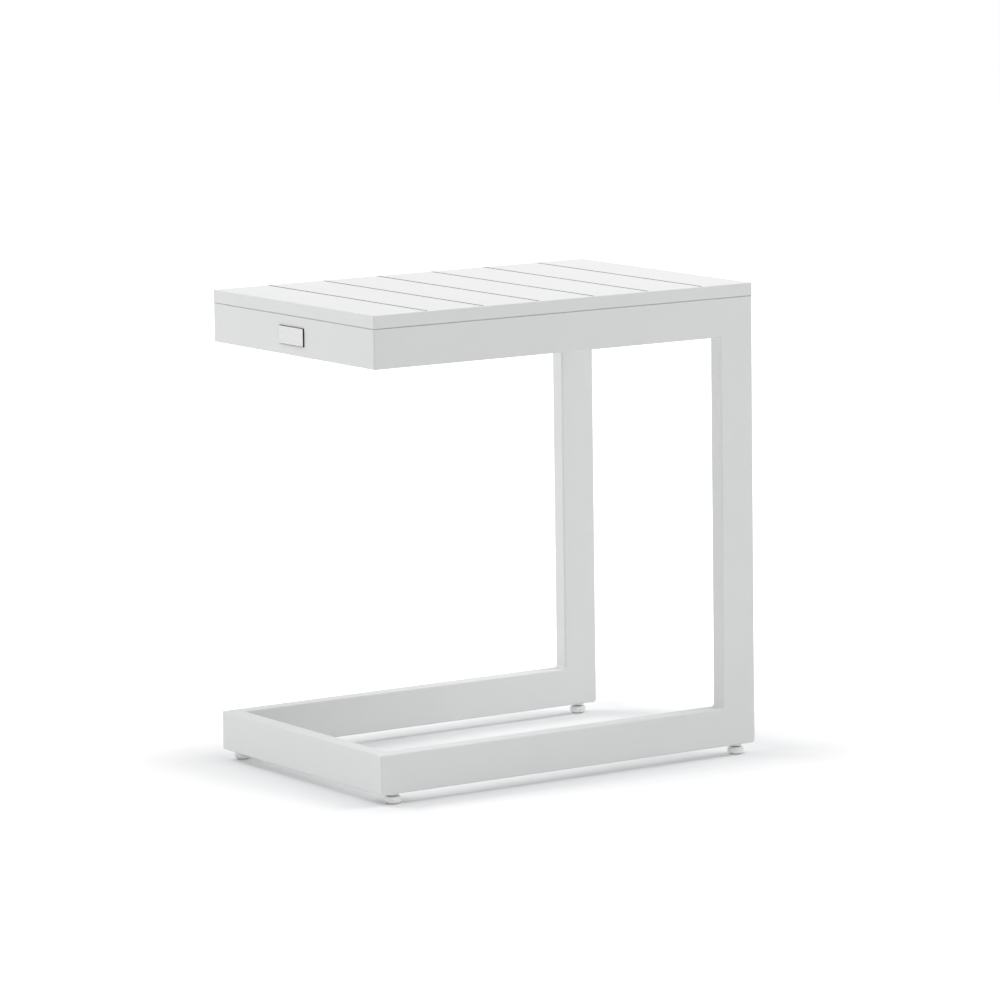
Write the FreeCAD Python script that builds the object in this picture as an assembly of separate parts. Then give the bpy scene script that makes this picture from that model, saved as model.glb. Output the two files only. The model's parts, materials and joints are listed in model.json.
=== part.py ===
import FreeCAD, Part
import math
import os

# C-shaped side table: a welded rectangular-tube frame that is open at the front end, a slatted
# top and four screw-adjusted levelling feet. Lengths are millimetres. The origin lies on the
# floor below the middle of the table, +X runs from the open front end to the two legs, +Y to
# the left side and +Z up.

# Overall size
TABLE_LENGTH = 510.0
TABLE_WIDTH = 342.0
TABLE_HEIGHT = 545.0

# Frame tube, its wide side shown on the sides of the table
TUBE_FACE = 45.0
TUBE_DEPTH = 20.0
TUBE_WALL = 2.0
TUBE_EDGE_RADIUS = 2.0
HEEL_RADIUS = 4.0
WELD_RADIUS = 4.0

# Slatted panel: hollow slats between two edge strips, the end slats trimmed a little
PANEL_THICKNESS = 15.0
PANEL_EDGE_RADIUS = 1.0
SLAT_COUNT = 7
SLAT_GAP = 2.0
SLAT_WALL = 1.5
SLAT_CHAMBERS = 3
FRONT_SLAT_TRIM = 1.0
REAR_SLAT_TRIM = 5.0
STRIP_THICKNESS = 3.0

# Angle cleats that carry the slats on the side aprons
CLEAT_LEG = 20.0
CLEAT_THICKNESS = 2.0
CLEAT_END_GAP = 1.0

# Bare plate on the front apron
PLATE_WIDTH = 52.0
PLATE_HEIGHT = 21.0
PLATE_THICKNESS = 1.6
PLATE_CORNER_RADIUS = 1.5
PLATE_EDGE_CHAMFER = 0.6

# Levelling feet: threaded insert in the rail, stud with a round head, ribbed pad round the head
FOOT_HEIGHT = 12.0
FOOT_INSET = 21.0
INSERT_FLANGE_RADIUS = 7.0
INSERT_FLANGE_THICKNESS = 2.0
INSERT_BARREL_RADIUS = 5.5
INSERT_BARREL_LENGTH = 14.0
INSERT_CLEARANCE = 0.05
STUD_RADIUS = 4.0
STUD_LENGTH = 33.0
STUD_HEAD_RADIUS = 6.0
STUD_HEAD_THICKNESS = 2.0
STUD_CLEARANCE = 0.05
HEAD_END_CLEARANCE = 0.1
PAD_RADIUS = 9.5
PAD_HEIGHT = 8.6
PAD_BOWL_RADIUS = 8.6
PAD_BOWL_HEIGHT = 1.8
PAD_BELLY_LOW = 4.4
PAD_BELLY_HIGH = 6.8
PAD_TOP_RADIUS = 7.4
PAD_CONTACT_RADIUS = 5.5
PAD_FLOOR = 2.4
RIB_COUNT = 18
RIB_DEPTH = 0.45

# Levels and planes that the pieces share
front_x = -TABLE_LENGTH / 2
rear_x = TABLE_LENGTH / 2
right_y = -TABLE_WIDTH / 2
inner_y = right_y + TUBE_DEPTH
leg_inner_x = rear_x - TUBE_FACE
base_bottom = FOOT_HEIGHT
base_top = base_bottom + TUBE_FACE
panel_bottom = TABLE_HEIGHT - PANEL_THICKNESS
apron_bottom = panel_bottom - TUBE_FACE
front_inner_x = front_x + TUBE_DEPTH
rear_inner_x = rear_x - TUBE_DEPTH

ORIGIN = FreeCAD.Vector(0, 0, 0)
X_AXIS = FreeCAD.Vector(1, 0, 0)
Y_AXIS = FreeCAD.Vector(0, 1, 0)
Z_AXIS = FreeCAD.Vector(0, 0, 1)


def in_xy(x, y):
    return FreeCAD.Vector(x, y, 0)


def in_xz(x, z):
    return FreeCAD.Vector(x, 0, z)


def in_yz(y, z):
    return FreeCAD.Vector(0, y, z)


def outline(corners, place):
    """Closed face through corners (u, v, radius), each corner rounded by its own radius."""
    points = [place(u, v) for u, v, radius in corners]
    ends = []
    for index, (u, v, radius) in enumerate(corners):
        corner = points[index]
        to_last = (points[index - 1] - corner).normalize()
        to_next = (points[(index + 1) % len(points)] - corner).normalize()
        if radius <= 0:
            ends.append((corner, None, corner))
            continue
        half_angle = to_last.getAngle(to_next) / 2
        setback = radius / math.tan(half_angle)
        bisector = (to_last + to_next).normalize()
        middle = corner + bisector * (radius / math.sin(half_angle) - radius)
        ends.append((corner + to_last * setback, middle, corner + to_next * setback))
    edges = []
    for index, (start, middle, end) in enumerate(ends):
        if middle is not None:
            edges.append(Part.Arc(start, middle, end).toShape())
        following = ends[(index + 1) % len(ends)][0]
        edges.append(Part.LineSegment(end, following).toShape())
    return Part.Face(Part.Wire(edges))


def rectangle(low_u, high_u, low_v, high_v, radius):
    return [(low_u, low_v, radius), (high_u, low_v, radius),
            (high_u, high_v, radius), (low_u, high_v, radius)]


def span(face, axis, low, high):
    """Solid swept from a flat outline, from low to high along the axis."""
    moved = face.copy()
    moved.translate(axis * low)
    return moved.extrude(axis * (high - low))


def beyond(point, normal):
    """Block that fills the space on the normal's side of a plane through the point."""
    reach = 2 * (TABLE_LENGTH + TABLE_WIDTH + TABLE_HEIGHT)
    block = Part.makeBox(reach, reach, reach, FreeCAD.Vector(-reach / 2, -reach / 2, 0))
    block.Placement = FreeCAD.Placement(point, FreeCAD.Rotation(Z_AXIS, normal))
    return block


def mirrored(shape):
    """The same piece on the left side of the table."""
    return shape.mirror(ORIGIN, Y_AXIS)


def revolved(corners):
    """Solid turned about the Z axis from a profile of (radius, height) corners."""
    return outline([(r, z, 0) for r, z in corners], in_xz).revolve(ORIGIN, Z_AXIS, 360)


def save(name, shape):
    shape.exportStep("parts/" + name + ".step")


# Frame

front_mitre_point = FreeCAD.Vector(front_x, right_y, 0)
front_mitre_normal = FreeCAD.Vector(1, -1, 0).normalize()


def front_corner_round():
    """What grinding takes off the upright edge of a front mitre on the right side."""
    radius = TUBE_EDGE_RADIUS
    post = Part.makeBox(radius, radius, TABLE_HEIGHT, front_mitre_point)
    centre = front_mitre_point + FreeCAD.Vector(radius, radius, 0)
    return post.cut(Part.makeCylinder(radius, TABLE_HEIGHT, centre))


def lower_corner_round(axis):
    """What grinding takes off the lower corner of a front mitre on the right side, along the axis."""
    radius = HEEL_RADIUS
    corner = FreeCAD.Vector(front_x, right_y, base_bottom)
    across = Z_AXIS.cross(axis)
    inward = FreeCAD.Vector(abs(across.x), abs(across.y), 0) + Z_AXIS
    size = inward * radius + axis * TUBE_DEPTH
    block = Part.makeBox(size.x, size.y, size.z, corner)
    return block.cut(Part.makeCylinder(radius, TUBE_DEPTH, corner + inward * radius, axis))


def side_frame():
    """Hollow C of the right side, before the mitres part it into apron, leg and base rail."""
    skin = span(outline([
        (front_x, base_bottom, 0),
        (rear_x, base_bottom, HEEL_RADIUS),
        (rear_x, panel_bottom, 0),
        (front_x, panel_bottom, 0),
        (front_x, apron_bottom, 0),
        (leg_inner_x, apron_bottom, 0),
        (leg_inner_x, base_top, WELD_RADIUS),
        (front_x, base_top, 0),
    ], in_xz), Y_AXIS, right_y, inner_y)
    side_planes = [f for f in skin.Faces if abs(f.normalAt(0, 0).y) > 0.5]
    skin = skin.makeFillet(TUBE_EDGE_RADIUS, [e for f in side_planes for e in f.Edges])
    wall = TUBE_WALL
    bore = span(outline([
        (front_x, base_bottom + wall, 0),
        (rear_x - wall, base_bottom + wall, HEEL_RADIUS - wall),
        (rear_x - wall, panel_bottom - wall, 0),
        (front_x, panel_bottom - wall, 0),
        (front_x, apron_bottom + wall, 0),
        (leg_inner_x + wall, apron_bottom + wall, 0),
        (leg_inner_x + wall, base_top - wall, 0),
        (front_x, base_top - wall, 0),
    ], in_xz), Y_AXIS, right_y + wall, inner_y - wall)
    frame = skin.cut(bore).common(beyond(front_mitre_point, front_mitre_normal))
    return frame.cut(front_corner_round()).cut(lower_corner_round(Y_AXIS))


def right_side_pieces():
    """Apron, leg and base rail, parted at 45 degree mitres through the C's rear corners."""
    frame = side_frame()
    middle = in_xz(0, (base_top + apron_bottom) / 2)
    upper_mitre = beyond(in_xz(rear_x, panel_bottom), FreeCAD.Vector(-1, 0, 1))
    lower_mitre = beyond(in_xz(rear_x, base_bottom), FreeCAD.Vector(-1, 0, -1))
    upper = upper_mitre.common(beyond(middle, Z_AXIS))
    lower = lower_mitre.common(beyond(middle, -Z_AXIS))
    apron = frame.common(upper)
    rail = frame.common(lower)
    leg = frame.cut(upper).cut(lower)
    for x in foot_places_x():
        seat = FreeCAD.Vector(x, foot_place_y(), base_bottom)
        hole_radius = INSERT_BARREL_RADIUS + INSERT_CLEARANCE
        rail = rail.cut(Part.makeCylinder(hole_radius, TUBE_WALL, seat))
    return apron, leg, rail


def cross_tube(low_x, low_z, half_length):
    """Hollow tube along Y with rounded long edges."""
    high_x = low_x + TUBE_DEPTH
    high_z = low_z + TUBE_FACE
    wall = TUBE_WALL
    skin = outline(rectangle(low_x, high_x, low_z, high_z, TUBE_EDGE_RADIUS), in_xz)
    bore = outline(rectangle(low_x + wall, high_x - wall, low_z + wall, high_z - wall, 0), in_xz)
    return span(skin.cut(bore).Faces[0], Y_AXIS, -half_length, half_length)


def front_tube(low_z):
    """Front tube with both ends mitred to the side tubes."""
    tube = cross_tube(front_x, low_z, TABLE_WIDTH / 2)
    past_mitre = beyond(front_mitre_point, front_mitre_normal).fuse(front_corner_round())
    return tube.cut(past_mitre).cut(mirrored(past_mitre))


# Slatted panel


def slat_spans():
    """Front and rear edge of each slat along X."""
    trims = FRONT_SLAT_TRIM + REAR_SLAT_TRIM
    gaps = SLAT_GAP * (SLAT_COUNT - 1)
    width = (TABLE_LENGTH + trims - gaps) / SLAT_COUNT
    spans = []
    start = front_x - FRONT_SLAT_TRIM
    for index in range(SLAT_COUNT):
        spans.append((max(start, front_x), min(start + width, rear_x)))
        start += width + SLAT_GAP
    return spans


def slat(low_x, high_x):
    """Hollow slat with webs between its chambers."""
    wall = SLAT_WALL
    half_length = TABLE_WIDTH / 2 - STRIP_THICKNESS
    skin = rectangle(low_x, high_x, panel_bottom, TABLE_HEIGHT, PANEL_EDGE_RADIUS)
    body = span(outline(skin, in_xz), Y_AXIS, -half_length, half_length)
    chamber = (high_x - low_x - wall * (SLAT_CHAMBERS + 1)) / SLAT_CHAMBERS
    for index in range(SLAT_CHAMBERS):
        start = low_x + wall + index * (chamber + wall)
        hollow = rectangle(start, start + chamber, panel_bottom + wall, TABLE_HEIGHT - wall, 0)
        body = body.cut(span(outline(hollow, in_xz), Y_AXIS, -half_length, half_length))
    return body


def edge_strip():
    """Flat bar that closes the slats' right ends, rounded in all three views where it shows."""
    hidden_y = right_y + STRIP_THICKNESS
    side = rectangle(front_x, rear_x, panel_bottom, TABLE_HEIGHT, PANEL_EDGE_RADIUS)
    plan = [
        (front_x, hidden_y, 0),
        (front_x, right_y, PANEL_EDGE_RADIUS),
        (rear_x, right_y, PANEL_EDGE_RADIUS),
        (rear_x, hidden_y, 0),
    ]
    section = [
        (hidden_y, panel_bottom, 0),
        (right_y, panel_bottom, PANEL_EDGE_RADIUS),
        (right_y, TABLE_HEIGHT, PANEL_EDGE_RADIUS),
        (hidden_y, TABLE_HEIGHT, 0),
    ]
    bar = span(outline(side, in_xz), Y_AXIS, right_y, hidden_y)
    bar = bar.common(span(outline(plan, in_xy), Z_AXIS, panel_bottom, TABLE_HEIGHT))
    return bar.common(span(outline(section, in_yz), X_AXIS, front_x, rear_x))


def cleat():
    """Angle on the right apron's inner side, its flat leg against the slats."""
    thick = CLEAT_THICKNESS
    angle = outline([
        (inner_y, panel_bottom, 0),
        (inner_y, panel_bottom - CLEAT_LEG, 0),
        (inner_y + thick, panel_bottom - CLEAT_LEG, 0),
        (inner_y + thick, panel_bottom - thick, thick),
        (inner_y + CLEAT_LEG, panel_bottom - thick, 0),
        (inner_y + CLEAT_LEG, panel_bottom, 0),
    ], in_yz)
    return span(angle, X_AXIS, front_inner_x + CLEAT_END_GAP, rear_inner_x - CLEAT_END_GAP)


def front_plate():
    """Bare plate in the middle of the front apron, its front edges eased."""
    middle_z = (apron_bottom + panel_bottom) / 2
    shape = outline(rectangle(-PLATE_WIDTH / 2, PLATE_WIDTH / 2, middle_z - PLATE_HEIGHT / 2,
                              middle_z + PLATE_HEIGHT / 2, PLATE_CORNER_RADIUS), in_yz)
    plate = span(shape, X_AXIS, front_x - PLATE_THICKNESS, front_x)
    face = min(plate.Faces, key=lambda f: f.CenterOfMass.x)
    return plate.makeChamfer(PLATE_EDGE_CHAMFER, face.Edges)


# Levelling feet, each made on the Z axis and then moved to its place


def foot_places_x():
    return [front_x + FOOT_INSET, rear_x - FOOT_INSET]


def foot_place_y():
    return right_y + TUBE_DEPTH / 2


def insert():
    """Threaded insert: flange under the rail, barrel through its wall, bore for the stud."""
    low = base_bottom - INSERT_FLANGE_THICKNESS
    high = base_bottom + INSERT_BARREL_LENGTH
    bore = STUD_RADIUS + STUD_CLEARANCE
    return revolved([
        (bore, low),
        (INSERT_FLANGE_RADIUS, low),
        (INSERT_FLANGE_RADIUS, base_bottom),
        (INSERT_BARREL_RADIUS, base_bottom),
        (INSERT_BARREL_RADIUS, high),
        (bore, high),
    ])


def stud():
    """Stud whose round head sits inside the pad."""
    low = PAD_FLOOR + HEAD_END_CLEARANCE
    head_top = low + STUD_HEAD_THICKNESS
    high = low + STUD_LENGTH
    return revolved([
        (0, low),
        (STUD_HEAD_RADIUS, low),
        (STUD_HEAD_RADIUS, head_top),
        (STUD_RADIUS, head_top),
        (STUD_RADIUS, high),
        (0, high),
    ])


def ribbed_ring(radius, height):
    """Corners of a round section, by turns on the crest of a rib and in the groove beside it."""
    groove = radius * (1 - RIB_DEPTH / PAD_RADIUS)
    step = math.pi / RIB_COUNT
    ring = []
    for index in range(RIB_COUNT):
        for reach, turn in ((radius, 2 * index * step), (groove, (2 * index + 1) * step)):
            ring.append(FreeCAD.Vector(reach * math.cos(turn), reach * math.sin(turn), height))
    return ring


def flat_face(corners):
    return Part.Face(Part.makePolygon(corners + corners[:1]))


def pad():
    """Ribbed bun of a pad with a socket that holds the stud's head."""
    rings = [
        ribbed_ring(PAD_CONTACT_RADIUS, 0),
        ribbed_ring(PAD_BOWL_RADIUS, PAD_BOWL_HEIGHT),
        ribbed_ring(PAD_RADIUS, PAD_BELLY_LOW),
        ribbed_ring(PAD_RADIUS, PAD_BELLY_HIGH),
        ribbed_ring(PAD_TOP_RADIUS, PAD_HEIGHT),
    ]
    faces = [flat_face(rings[0]), flat_face(rings[-1])]
    for lower, upper in zip(rings, rings[1:]):
        for index in range(len(lower)):
            faces.append(flat_face([lower[index - 1], lower[index], upper[index], upper[index - 1]]))
    body = Part.Solid(Part.Shell(faces))
    ceiling = PAD_FLOOR + STUD_HEAD_THICKNESS + 2 * HEAD_END_CLEARANCE
    socket = revolved([
        (0, PAD_FLOOR),
        (STUD_HEAD_RADIUS + STUD_CLEARANCE, PAD_FLOOR),
        (STUD_HEAD_RADIUS + STUD_CLEARANCE, ceiling),
        (STUD_RADIUS + STUD_CLEARANCE, ceiling),
        (STUD_RADIUS + STUD_CLEARANCE, PAD_HEIGHT),
        (0, PAD_HEIGHT),
    ])
    return body.cut(socket)


os.makedirs("parts", exist_ok=True)

for name, piece in zip(("apron", "leg", "base_rail"), right_side_pieces()):
    save("right_" + name, piece)
    save("left_" + name, mirrored(piece))
save("front_apron", front_tube(apron_bottom))
lower_corners = lower_corner_round(X_AXIS).fuse(mirrored(lower_corner_round(X_AXIS)))
save("front_base_rail", front_tube(base_bottom).cut(lower_corners))
save("rear_apron", cross_tube(rear_inner_x, apron_bottom, -inner_y))

for number, (low_x, high_x) in enumerate(slat_spans(), start=1):
    save("slat_" + str(number), slat(low_x, high_x))
for name, piece in (("edge_strip", edge_strip()), ("cleat", cleat())):
    save("right_" + name, piece)
    save("left_" + name, mirrored(piece))
save("front_plate", front_plate())

foot_sides = (("right", foot_place_y()), ("left", -foot_place_y()))
for side, y in foot_sides:
    seats = [FreeCAD.Vector(x, y, 0) for x in foot_places_x()]
    save(side + "_foot_inserts", Part.makeCompound([insert().translated(seat) for seat in seats]))
    for end, seat in zip(("front", "rear"), seats):
        save("foot_stud_" + end + "_" + side, stud().translated(seat))
        save("foot_pad_" + end + "_" + side, pad().translated(seat))
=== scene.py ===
import json
import math
import bpy
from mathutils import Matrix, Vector


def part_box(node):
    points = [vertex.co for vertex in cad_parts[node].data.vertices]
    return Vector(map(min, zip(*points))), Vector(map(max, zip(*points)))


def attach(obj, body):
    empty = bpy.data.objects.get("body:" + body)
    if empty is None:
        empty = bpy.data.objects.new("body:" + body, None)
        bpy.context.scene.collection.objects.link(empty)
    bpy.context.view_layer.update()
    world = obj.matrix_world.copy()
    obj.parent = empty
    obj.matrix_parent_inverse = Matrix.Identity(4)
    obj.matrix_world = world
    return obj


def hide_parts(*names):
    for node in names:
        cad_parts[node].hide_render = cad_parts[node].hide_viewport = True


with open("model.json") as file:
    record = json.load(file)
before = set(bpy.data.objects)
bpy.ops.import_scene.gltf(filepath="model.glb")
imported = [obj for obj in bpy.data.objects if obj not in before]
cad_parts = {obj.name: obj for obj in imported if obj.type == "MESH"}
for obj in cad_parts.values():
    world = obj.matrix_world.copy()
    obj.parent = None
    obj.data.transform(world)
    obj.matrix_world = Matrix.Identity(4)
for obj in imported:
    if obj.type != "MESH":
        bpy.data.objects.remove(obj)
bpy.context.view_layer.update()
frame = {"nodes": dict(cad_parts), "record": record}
nodes = frame["nodes"]
scene = bpy.context.scene
scene.view_settings.view_transform = "Standard"


# Materials, in metres

NOISE_SPAN = (0.3, 0.7)  # share of a noise's range over which its colours run

PANEL_SEAT = 0.530  # height of the slats' lower face, where the panel lies on the frame
OUTER_X, OUTER_Y = 0.2535, 0.1695  # the outer faces of panel and frame lie beyond these
# Painted shade in the coat's joints: the seam where the panel lies on the frame and the walls
# between the slats are greyed to stand in for their shade.
SEAM_SHADE_HALF = 0.0010
SEAM_SHADE_SHARE = 0.26
SLAT_WALL_X = 0.25  # the walls between the slats lie within this
SLAT_WALL_FACING = 0.45  # least part along X of such a wall's normal
# grey of the painted shade in the joints
JOINT_SHADE_GREY = (0.05, 0.051, 0.053)
COAT_LOW, COAT_HIGH = (0.775, 0.785, 0.780), (0.790, 0.800, 0.795)

PLATE_STROKE = (1.0, 0.03, 1.0)  # the brush strokes are drawn out along Y
PLATE_FACING = 0.92  # part along X of the normal, below which it is an edge's
PLATE_LOW, PLATE_HIGH = (0.52, 0.52, 0.515), (0.62, 0.62, 0.615)
# near black painted on the plate's edges as shade
PLATE_EDGE_SHADE = (0.02, 0.02, 0.022)

ZINC_LOW, ZINC_HIGH = (0.36, 0.365, 0.37), (0.48, 0.485, 0.49)

NYLON_LOW, NYLON_HIGH = (0.90, 0.90, 0.885), (0.94, 0.94, 0.93)
# painted contact shade, greying the pads towards the floor
SOLE_SHADE_HEIGHT = 0.0022
SOLE_SHADE_SHARE = 0.5
SOLE_SHADE_GREY = (0.42, 0.41, 0.39)


def add_node(tree, kind, **settings):
    node = tree.nodes.new(kind)
    for key, value in settings.items():
        setattr(node, key, value)
    return node


class Surface:
    """Node material whose textures are placed in metres, with short calls for adding nodes."""

    def __init__(self, name):
        self.material = bpy.data.materials.new(name)
        self.material.use_nodes = True
        self.tree = self.material.node_tree
        self.shader = self.tree.nodes["Principled BSDF"]
        self.place = self.add("ShaderNodeTexCoord").outputs["Object"]

    def add(self, kind, **settings):
        return add_node(self.tree, kind, **settings)

    def link(self, source, target):
        self.tree.links.new(source, target)

    def set(self, **constants):
        """Constants on the shader's own sockets, named with underscores for their spaces."""
        for key, value in constants.items():
            self.shader.inputs[key.replace("_", " ")].default_value = value

    def math(self, operation, first, second=0.0):
        """Result of a math node on sockets or numbers."""
        node = self.add("ShaderNodeMath", operation=operation)
        for socket, value in zip(node.inputs, (first, second)):
            if isinstance(value, float):
                socket.default_value = value
            else:
                self.link(value, socket)
        return node.outputs[0]

    def sizes(self, vector):
        """Absolute X, Y and Z of a vector."""
        node = self.add("ShaderNodeSeparateXYZ")
        self.link(vector, node.inputs[0])
        return [self.math("ABSOLUTE", part) for part in node.outputs]

    def spot(self):
        """Absolute X, Y and Z of the place."""
        return self.sizes(self.place)

    def facing(self):
        """Absolute X, Y and Z of the normal."""
        return self.sizes(self.add("ShaderNodeNewGeometry").outputs["Normal"])

    def band(self, part, middle, half):
        """1 where that part of the place is at the middle, falling to 0 at half a width from it."""
        away = self.math("ABSOLUTE", self.math("SUBTRACT", part, middle))
        share = self.math("SUBTRACT", 1.0, self.math("DIVIDE", away, half))
        return self.math("MAXIMUM", share, 0.0)

    def mix(self, share, first, second):
        """Colour that goes from the first, a socket, to the second as the share goes to 1."""
        node = self.add("ShaderNodeMix", data_type="RGBA")
        self.link(share, node.inputs["Factor"])
        self.link(first, node.inputs["A"])
        node.inputs["B"].default_value = (*second, 1)
        return node.outputs["Result"]

    def noise(self, per_metre, detail, stretch=None):
        """Noise with about that many grains in a metre, drawn out where stretch is under 1."""
        node = self.add("ShaderNodeTexNoise")
        node.inputs["Scale"].default_value = per_metre
        node.inputs["Detail"].default_value = detail
        place = self.place
        if stretch:
            mapping = self.add("ShaderNodeMapping")
            mapping.inputs["Scale"].default_value = stretch
            self.link(place, mapping.inputs["Vector"])
            place = mapping.outputs["Vector"]
        self.link(place, node.inputs["Vector"])
        return node.outputs["Fac"]

    def ramp(self, noise, low, high):
        """Numbers or colours from low to high as the noise runs over its span."""
        node = self.add("ShaderNodeValToRGB")
        for element, position, value in zip(node.color_ramp.elements, NOISE_SPAN, (low, high)):
            element.position = position
            element.color = (*value, 1) if isinstance(value, tuple) else (value, value, value, 1)
        self.link(noise, node.inputs["Fac"])
        return node.outputs["Color"]

    def colour(self, source):
        self.link(source, self.shader.inputs["Base Color"])

    def roughness(self, noise, low, high):
        self.link(self.ramp(noise, low, high), self.shader.inputs["Roughness"])

    def bump(self, noise, depth, below=None):
        """Relief of that depth, on top of another relief where one is below."""
        node = self.add("ShaderNodeBump")
        node.inputs["Strength"].default_value = 1.0
        node.inputs["Distance"].default_value = depth
        self.link(noise, node.inputs["Height"])
        if below:
            self.link(below, node.inputs["Normal"])
        self.link(node.outputs["Normal"], self.shader.inputs["Normal"])
        return node.outputs["Normal"]


def powder_coat(name):
    """White powder coat: faint mottling, orange peel, a fine satin grain and painted shade in the
    joints.

    The joints with painted shade are the line where the panel lies on the frame, seen at its outer
    faces, and the narrow walls between the slats.
    """
    coat = Surface(name)
    spot, facing = coat.spot(), coat.facing()
    outer = coat.math("MAXIMUM", coat.math("GREATER_THAN", spot[0], OUTER_X),
                      coat.math("GREATER_THAN", spot[1], OUTER_Y))
    # painted shade along the seam under the panel, at the outer faces
    seam_shade = coat.math("MULTIPLY", coat.band(spot[2], PANEL_SEAT, SEAM_SHADE_HALF), outer)
    seam_shade = coat.math("MULTIPLY", seam_shade, SEAM_SHADE_SHARE)
    # painted shade on the narrow walls between the slats
    wall_shade = coat.math("MULTIPLY", coat.math("GREATER_THAN", facing[0], SLAT_WALL_FACING),
                     coat.math("LESS_THAN", spot[0], SLAT_WALL_X))
    wall_shade = coat.math("MULTIPLY", wall_shade, coat.math("GREATER_THAN", spot[2], PANEL_SEAT))
    mottling = coat.ramp(coat.noise(per_metre=14, detail=4), COAT_LOW, COAT_HIGH)
    coat.colour(coat.mix(coat.math("MAXIMUM", seam_shade, wall_shade), mottling, JOINT_SHADE_GREY))
    coat.roughness(coat.noise(per_metre=900, detail=3), 0.40, 0.52)
    peel = coat.bump(coat.noise(per_metre=330, detail=2), 0.00004)
    coat.bump(coat.noise(per_metre=1900, detail=2), 0.00003, peel)
    return coat.material


def brushed_plate():
    """Bare metal plate, brushed along its length, with painted shade making its edges near black.
    """
    plate = Surface("plate_brushed_metal")
    strokes = plate.noise(per_metre=2600, detail=3, stretch=PLATE_STROKE)
    # painted shade: the plate's edges are coloured near black
    edge_shade = plate.math("LESS_THAN", plate.facing()[0], PLATE_FACING)
    plate.colour(plate.mix(edge_shade, plate.ramp(strokes, PLATE_LOW, PLATE_HIGH), PLATE_EDGE_SHADE))
    plate.roughness(strokes, 0.34, 0.50)
    plate.set(Metallic=0.8)
    plate.bump(strokes, 0.00001)
    return plate.material


def zinc_steel():
    """Zinc-plated steel with a fine spangle."""
    zinc = Surface("zinc_plated_steel")
    spangle = zinc.noise(per_metre=700, detail=3)
    zinc.colour(zinc.ramp(spangle, ZINC_LOW, ZINC_HIGH))
    zinc.roughness(spangle, 0.26, 0.42)
    zinc.set(Metallic=1.0)
    zinc.bump(spangle, 0.00001)
    return zinc.material


def moulded_plastic():
    """White nylon of the pads and inserts: milky, faintly mottled, with painted shade greying it at
    the floor.
    """
    nylon = Surface("pad_moulded_plastic")
    mottling = nylon.ramp(nylon.noise(per_metre=260, detail=4), NYLON_LOW, NYLON_HIGH)
    # painted shade: the pad greys towards the floor, where its contact shadow falls
    sole_shade = nylon.math("MULTIPLY", nylon.band(nylon.spot()[2], 0.0, SOLE_SHADE_HEIGHT), SOLE_SHADE_SHARE)
    nylon.colour(nylon.mix(sole_shade, mottling, SOLE_SHADE_GREY))
    nylon.set(Subsurface_Weight=0.25, Subsurface_Radius=(1.0, 1.0, 0.95), Subsurface_Scale=0.003)
    nylon.roughness(nylon.noise(per_metre=1500, detail=2), 0.32, 0.44)
    nylon.bump(nylon.noise(per_metre=2400, detail=2), 0.00002)
    return nylon.material


MATERIALS = {
    "frame_coat": powder_coat("frame_powder_coat"),
    "slat_coat": powder_coat("slat_powder_coat"),
    "plate_metal": brushed_plate(),
    "zinc_steel": zinc_steel(),
    "pad_plastic": moulded_plastic(),
}
for subpart in frame["record"]["subparts"]:
    mesh = nodes[subpart["node"]].data
    mesh.materials.clear()
    mesh.materials.append(MATERIALS[subpart["material_slot"]])


# Turned pieces, in millimetres

MM_PER_M = 1000
SHARP_ANGLE = math.radians(38)

FOOT_X, FOOT_Y = 234, 161
FEET = {
    "front_right": (-FOOT_X, -FOOT_Y),
    "front_left": (-FOOT_X, FOOT_Y),
    "rear_right": (FOOT_X, -FOOT_Y),
    "rear_left": (FOOT_X, FOOT_Y),
}
PAD_RIBS = 18
RIB_STEPS = 8

THREAD_PITCH = 1.25
THREAD_CREST, THREAD_ROOT = 4.0, 3.32
THREAD_LOW, THREAD_LENGTH = 8.9, 26.0
THREAD_ROWS = 160
STUD_STEPS = 28

SLAT_COUNT = 7
SCREW_Y = 140
SCREW_SEAT = 528  # height of the cleats' lower face
SCREW_STEPS = 36


def new_piece(name, points, faces):
    mesh = bpy.data.meshes.new(name)
    mesh.from_pydata(points, [], faces)
    piece = bpy.data.objects.new(name, mesh)
    scene.collection.objects.link(piece)
    return piece


def finish_piece(piece, body, slot):
    piece.data.materials.append(MATERIALS[slot])
    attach(piece, body)


def turned(name, centre, rows, segments):
    """Closed piece turned about an upright axis through centre.

    A row is a height and a radius, and the radius may be a function of the angle. The first and
    the last row are points on the axis.
    """
    angles = [2 * math.pi * step / segments for step in range(segments)]
    points = [(0, 0, rows[0][0])]
    for height, radius in rows[1:-1]:
        for angle in angles:
            reach = radius(angle) if callable(radius) else radius
            points.append((reach * math.cos(angle), reach * math.sin(angle), height))
    points.append((0, 0, rows[-1][0]))
    last = len(points) - 1
    faces = []
    for step in range(segments):
        after = (step + 1) % segments
        faces.append((0, 1 + after, 1 + step))
        for row in range(len(rows) - 3):
            low = 1 + row * segments
            faces.append((low + step, low + after, low + segments + after, low + segments + step))
        faces.append((last - segments + step, last - segments + after, last))
    places = [(Vector(point) + Vector(centre)) / MM_PER_M for point in points]
    piece = new_piece(name, places, faces)
    piece.data.polygons.foreach_set("use_smooth", [True] * len(piece.data.polygons))
    piece.data.set_sharp_from_angle(angle=SHARP_ANGLE)
    return piece


def ribbed(radius, depth):
    """Radius with rounded ribs, the valleys that far below it."""
    return lambda angle: radius - depth * (0.5 + 0.5 * math.cos(PAD_RIBS * angle)) ** 2


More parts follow.
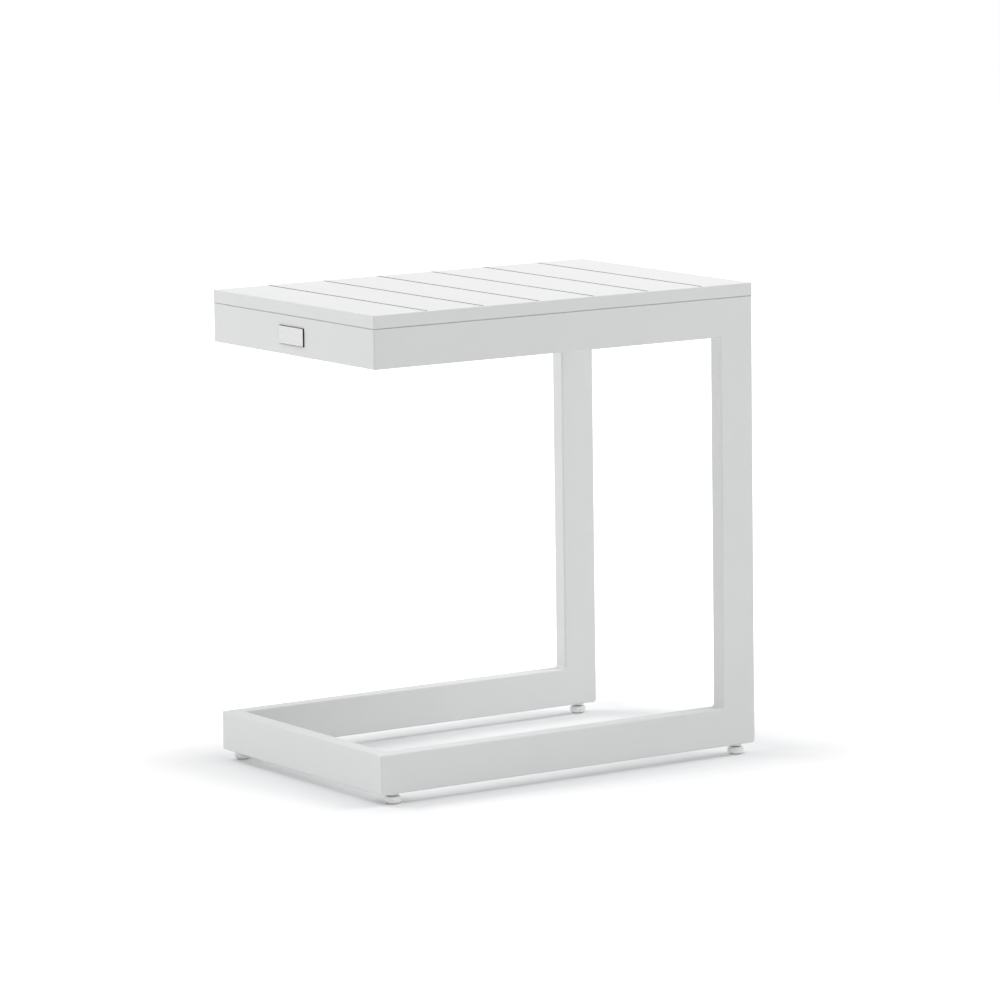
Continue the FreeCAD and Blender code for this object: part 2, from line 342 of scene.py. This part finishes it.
def pad_rows():
    """Pad with a dished sole, ribbed grip, rounded shoulder and socket for the stud's head."""
    sole = [(0.5, 0), (0.5, 3.6), (0.0, 4.3), (0.0, 5.4), (0.15, 5.9), (0.7, 6.9), (1.2, 7.7)]
    grip = [(1.7, 8.4, 0.1), (2.2, 8.85, 0.3), (2.9, 9.2, 0.6), (3.7, 9.4, 0.75), (4.6, 9.5, 0.8),
            (5.6, 9.5, 0.8), (6.4, 9.42, 0.78), (7.0, 9.2, 0.6), (7.5, 8.85, 0.3), (7.9, 8.4, 0.1)]
    shoulder = [(8.25, 7.8), (8.45, 7.3), (8.6, 6.6)]
    socket = [(8.6, 4.5), (8.45, 4.2), (8.2, 4.05), (4.6, 4.05), (4.6, 6.05), (2.4, 6.05), (2.4, 0)]
    ribs = [(height, ribbed(radius, depth)) for height, radius, depth in grip]
    return sole + ribs + shoulder + socket


def threaded(height):
    """Radius of a right-hand thread at that height, with flat crests and roots."""
    def radius(angle):
        rise = (height / THREAD_PITCH - angle / (2 * math.pi)) % 1.0
        flank = 2.0 * abs(rise - 0.5)
        share = min(1.0, max(0.0, 1.5 * flank - 0.2))
        return THREAD_ROOT + (THREAD_CREST - THREAD_ROOT) * share
    return radius


def stud_rows():
    """Stud with a round head, plain neck, thread and chamfered end."""
    head = [(2.5, 0), (2.5, 5.5), (2.65, 5.85), (3.0, 6.0), (4.0, 6.0), (4.35, 5.85), (4.5, 5.5)]
    neck = [(4.5, 4.0), (8.7, 4.0)]
    heights = [THREAD_LOW + step * THREAD_LENGTH / THREAD_ROWS for step in range(THREAD_ROWS + 1)]
    thread = [(height, threaded(height)) for height in heights]
    end = [(35.2, 3.3), (35.5, 2.9), (35.5, 0)]
    return head + neck + thread + end


def hex_socket(across):
    """Radius of a hexagon with that width across its flats."""
    sector = math.pi / 3
    return lambda angle: across / 2 / math.cos(angle % sector - sector / 2)


def screw_rows():
    """Button head that points down, with a hexagon socket, seated at height 0."""
    socket = [(-1.0, 0), (-1.0, hex_socket(2.35)), (-2.25, hex_socket(2.5))]
    button = [(-2.4, 1.75), (-2.36, 2.3), (-2.1, 3.0), (-1.6, 3.55), (-1.0, 3.88), (-0.5, 4.0)]
    seat = [(-0.08, 4.0), (0.0, 3.9), (0.0, 0)]
    return socket + button + seat


# Plate, in metres

PLATE_CORNER = 0.0012
PLATE_CHAMFER = 0.0006
CORNER_STEPS = 6


def plate_piece(name, low, high):
    """Plate with rounded corners, its face towards the front and a chamfer all round it."""
    rings = []
    for x, inset in ((high[0], 0.0), (low[0] + PLATE_CHAMFER, 0.0), (low[0], PLATE_CHAMFER)):
        ring = []
        reach = PLATE_CORNER - inset
        for quarter, (side, level) in enumerate(((1, 1), (-1, 1), (-1, -1), (1, -1))):
            centre_y = (high[1] if side > 0 else low[1]) - side * PLATE_CORNER
            centre_z = (high[2] if level > 0 else low[2]) - level * PLATE_CORNER
            for step in range(CORNER_STEPS + 1):
                angle = math.pi / 2 * (quarter + step / CORNER_STEPS)
                y = centre_y + reach * math.cos(angle)
                z = centre_z + reach * math.sin(angle)
                ring.append((x, y, z))
        rings.append(ring)
    count = len(rings[0])
    face_ring = 2 * count
    faces = [tuple(range(count)), tuple(range(face_ring + count - 1, face_ring - 1, -1))]
    for start in (0, count):
        for step in range(count):
            here, after = start + step, start + (step + 1) % count
            faces.append((here, here + count, after + count, after))
    return new_piece(name, [point for ring in rings for point in ring], faces)


plate = plate_piece("front_plate_chamfered", *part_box("front_plate"))
finish_piece(plate, "table_frame", "plate_metal")
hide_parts("front_plate")

for place, (x, y) in FEET.items():
    pad = turned(place + "_pad_ribbed", (x, y, 0), pad_rows(), PAD_RIBS * RIB_STEPS)
    finish_piece(pad, place + "_pad", "pad_plastic")
    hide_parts("foot_pad_" + place)
    stud = turned(place + "_stud_threaded", (x, y, 0), stud_rows(), STUD_STEPS)
    finish_piece(stud, place + "_stud", "zinc_steel")
    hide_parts("foot_stud_" + place)

for number in range(1, SLAT_COUNT + 1):
    low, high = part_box("slat_%d" % number)
    middle = MM_PER_M * (low[0] + high[0]) / 2
    for side, y in (("right", -SCREW_Y), ("left", SCREW_Y)):
        centre = (middle, y, SCREW_SEAT)
        screw = turned("%s_slat_screw_%d" % (side, number), centre, screw_rows(), SCREW_STEPS)
        finish_piece(screw, "table_frame", "zinc_steel")


# Floor, light and camera, in metres

FLOOR_HALF = 6.0
FLOOR_PALE = (0.90, 0.903, 0.915, 1)
SHADOW_MIDDLE = (0.0275, 0.0075, 0)  # the floor glows least in this box round the table's foot
SHADOW_HALF = (0.2700, 0.1760, 0)
GLOW_LEAST = 0.02
GLOW_REACH = 0.5  # distance from the box at which the floor glows as white as the world
WHITE = (1, 1, 1, 1)
WORLD_LIGHT = (0.99, 0.99, 0.984, 1)
LAMP_AIM = (0, 0, 0.3)


def shown_white(tree):
    """1 for the rays that see the background: from the camera, in gloss and through glass."""
    path = add_node(tree, "ShaderNodeLightPath")
    shown = path.outputs["Is Camera Ray"]
    for kind in ("Is Glossy Ray", "Is Transmission Ray"):
        either = add_node(tree, "ShaderNodeMath", operation="MAXIMUM")
        tree.links.new(shown, either.inputs[0])
        tree.links.new(path.outputs[kind], either.inputs[1])
        shown = either.outputs[0]
    return shown


def studio_floor():
    """Pale floor keeping the table's shadow near it; a painted glow whitens it further out."""
    corners = [(-1, -1), (1, -1), (1, 1), (-1, 1)]
    floor = new_piece("floor", [(FLOOR_HALF * x, FLOOR_HALF * y, 0) for x, y in corners],
                      [(0, 1, 2, 3)])
    pale = Surface("floor_pale")
    pale.set(Base_Color=FLOOR_PALE, Roughness=0.9, Specular_IOR_Level=0.0, Emission_Color=WHITE)
    away = pale.place
    for operation, value in (("SUBTRACT", SHADOW_MIDDLE), ("ABSOLUTE", None),
                             ("SUBTRACT", SHADOW_HALF), ("MAXIMUM", (0, 0, 0)), ("LENGTH", None)):
        step = pale.add("ShaderNodeVectorMath", operation=operation)
        pale.link(away, step.inputs[0])
        if value:
            step.inputs[1].default_value = value
        away = step.outputs["Value" if operation == "LENGTH" else "Vector"]
    # Painted light: the glow rises with distance from the box, so the floor is painted darker near
    # the table and white further out.
    fade = pale.add("ShaderNodeMapRange")
    fade.inputs["From Max"].default_value = GLOW_REACH
    fade.inputs["To Min"].default_value = GLOW_LEAST
    pale.link(away, fade.inputs["Value"])
    glow = pale.math("MULTIPLY", shown_white(pale.tree), fade.outputs["Result"])
    pale.link(glow, pale.shader.inputs["Emission Strength"])
    floor.data.materials.append(pale.material)


def studio_world(strength):
    """White to the camera and in reflections, a plain even light otherwise."""
    world = bpy.data.worlds.new("studio")
    scene.world = world
    world.use_nodes = True
    tree = world.node_tree
    tree.nodes.clear()
    light = add_node(tree, "ShaderNodeBackground")
    light.inputs["Color"].default_value = WORLD_LIGHT
    light.inputs["Strength"].default_value = strength
    white = add_node(tree, "ShaderNodeBackground")
    white.inputs["Color"].default_value = WHITE
    mix = add_node(tree, "ShaderNodeMixShader")
    tree.links.new(shown_white(tree), mix.inputs["Fac"])
    tree.links.new(light.outputs[0], mix.inputs[1])
    tree.links.new(white.outputs[0], mix.inputs[2])
    tree.links.new(mix.outputs[0], add_node(tree, "ShaderNodeOutputWorld").inputs["Surface"])


def softbox(name, place, size, watts):
    """Square lamp that faces the middle of the table."""
    lamp = bpy.data.lights.new(name, "AREA")
    lamp.shape = "SQUARE"
    lamp.size = size
    lamp.energy = watts
    holder = bpy.data.objects.new(name, lamp)
    holder.location = place
    holder.rotation_euler = (Vector(LAMP_AIM) - Vector(place)).to_track_quat("-Z", "Y").to_euler()
    scene.collection.objects.link(holder)


def photo_camera():
    """Camera at the photograph's viewing angle, from a fit of the table's straight edges."""
    camera = bpy.data.cameras.new("photo_camera")
    camera.sensor_fit = "HORIZONTAL"
    camera.sensor_width = 36.0
    camera.lens = 200.54
    camera.clip_end = 100
    holder = bpy.data.objects.new("photo_camera", camera)
    holder.location = (-3.4666, -5.2737, 1.2397)
    holder.rotation_euler = (1.422695, 0.013826, -0.586216)
    scene.collection.objects.link(holder)
    scene.camera = holder


studio_floor()
studio_world(strength=0.610)
softbox("right_top_softbox", (1.9, -0.6, 2.6), size=1.6, watts=31)
softbox("left_top_softbox", (-1.6, 1.9, 3.2), size=1.6, watts=39)
# The low lamps stay below the table's top, so that it doesn't mirror them and clip to white.
softbox("front_low_softbox", (-3.0, 1.0, 0.27), size=0.5, watts=5)
softbox("left_low_softbox", (0.6, 3.2, 0.27), size=0.5, watts=5)
softbox("rear_low_softbox", (3.2, -0.8, 0.27), size=0.5, watts=6)
photo_camera()
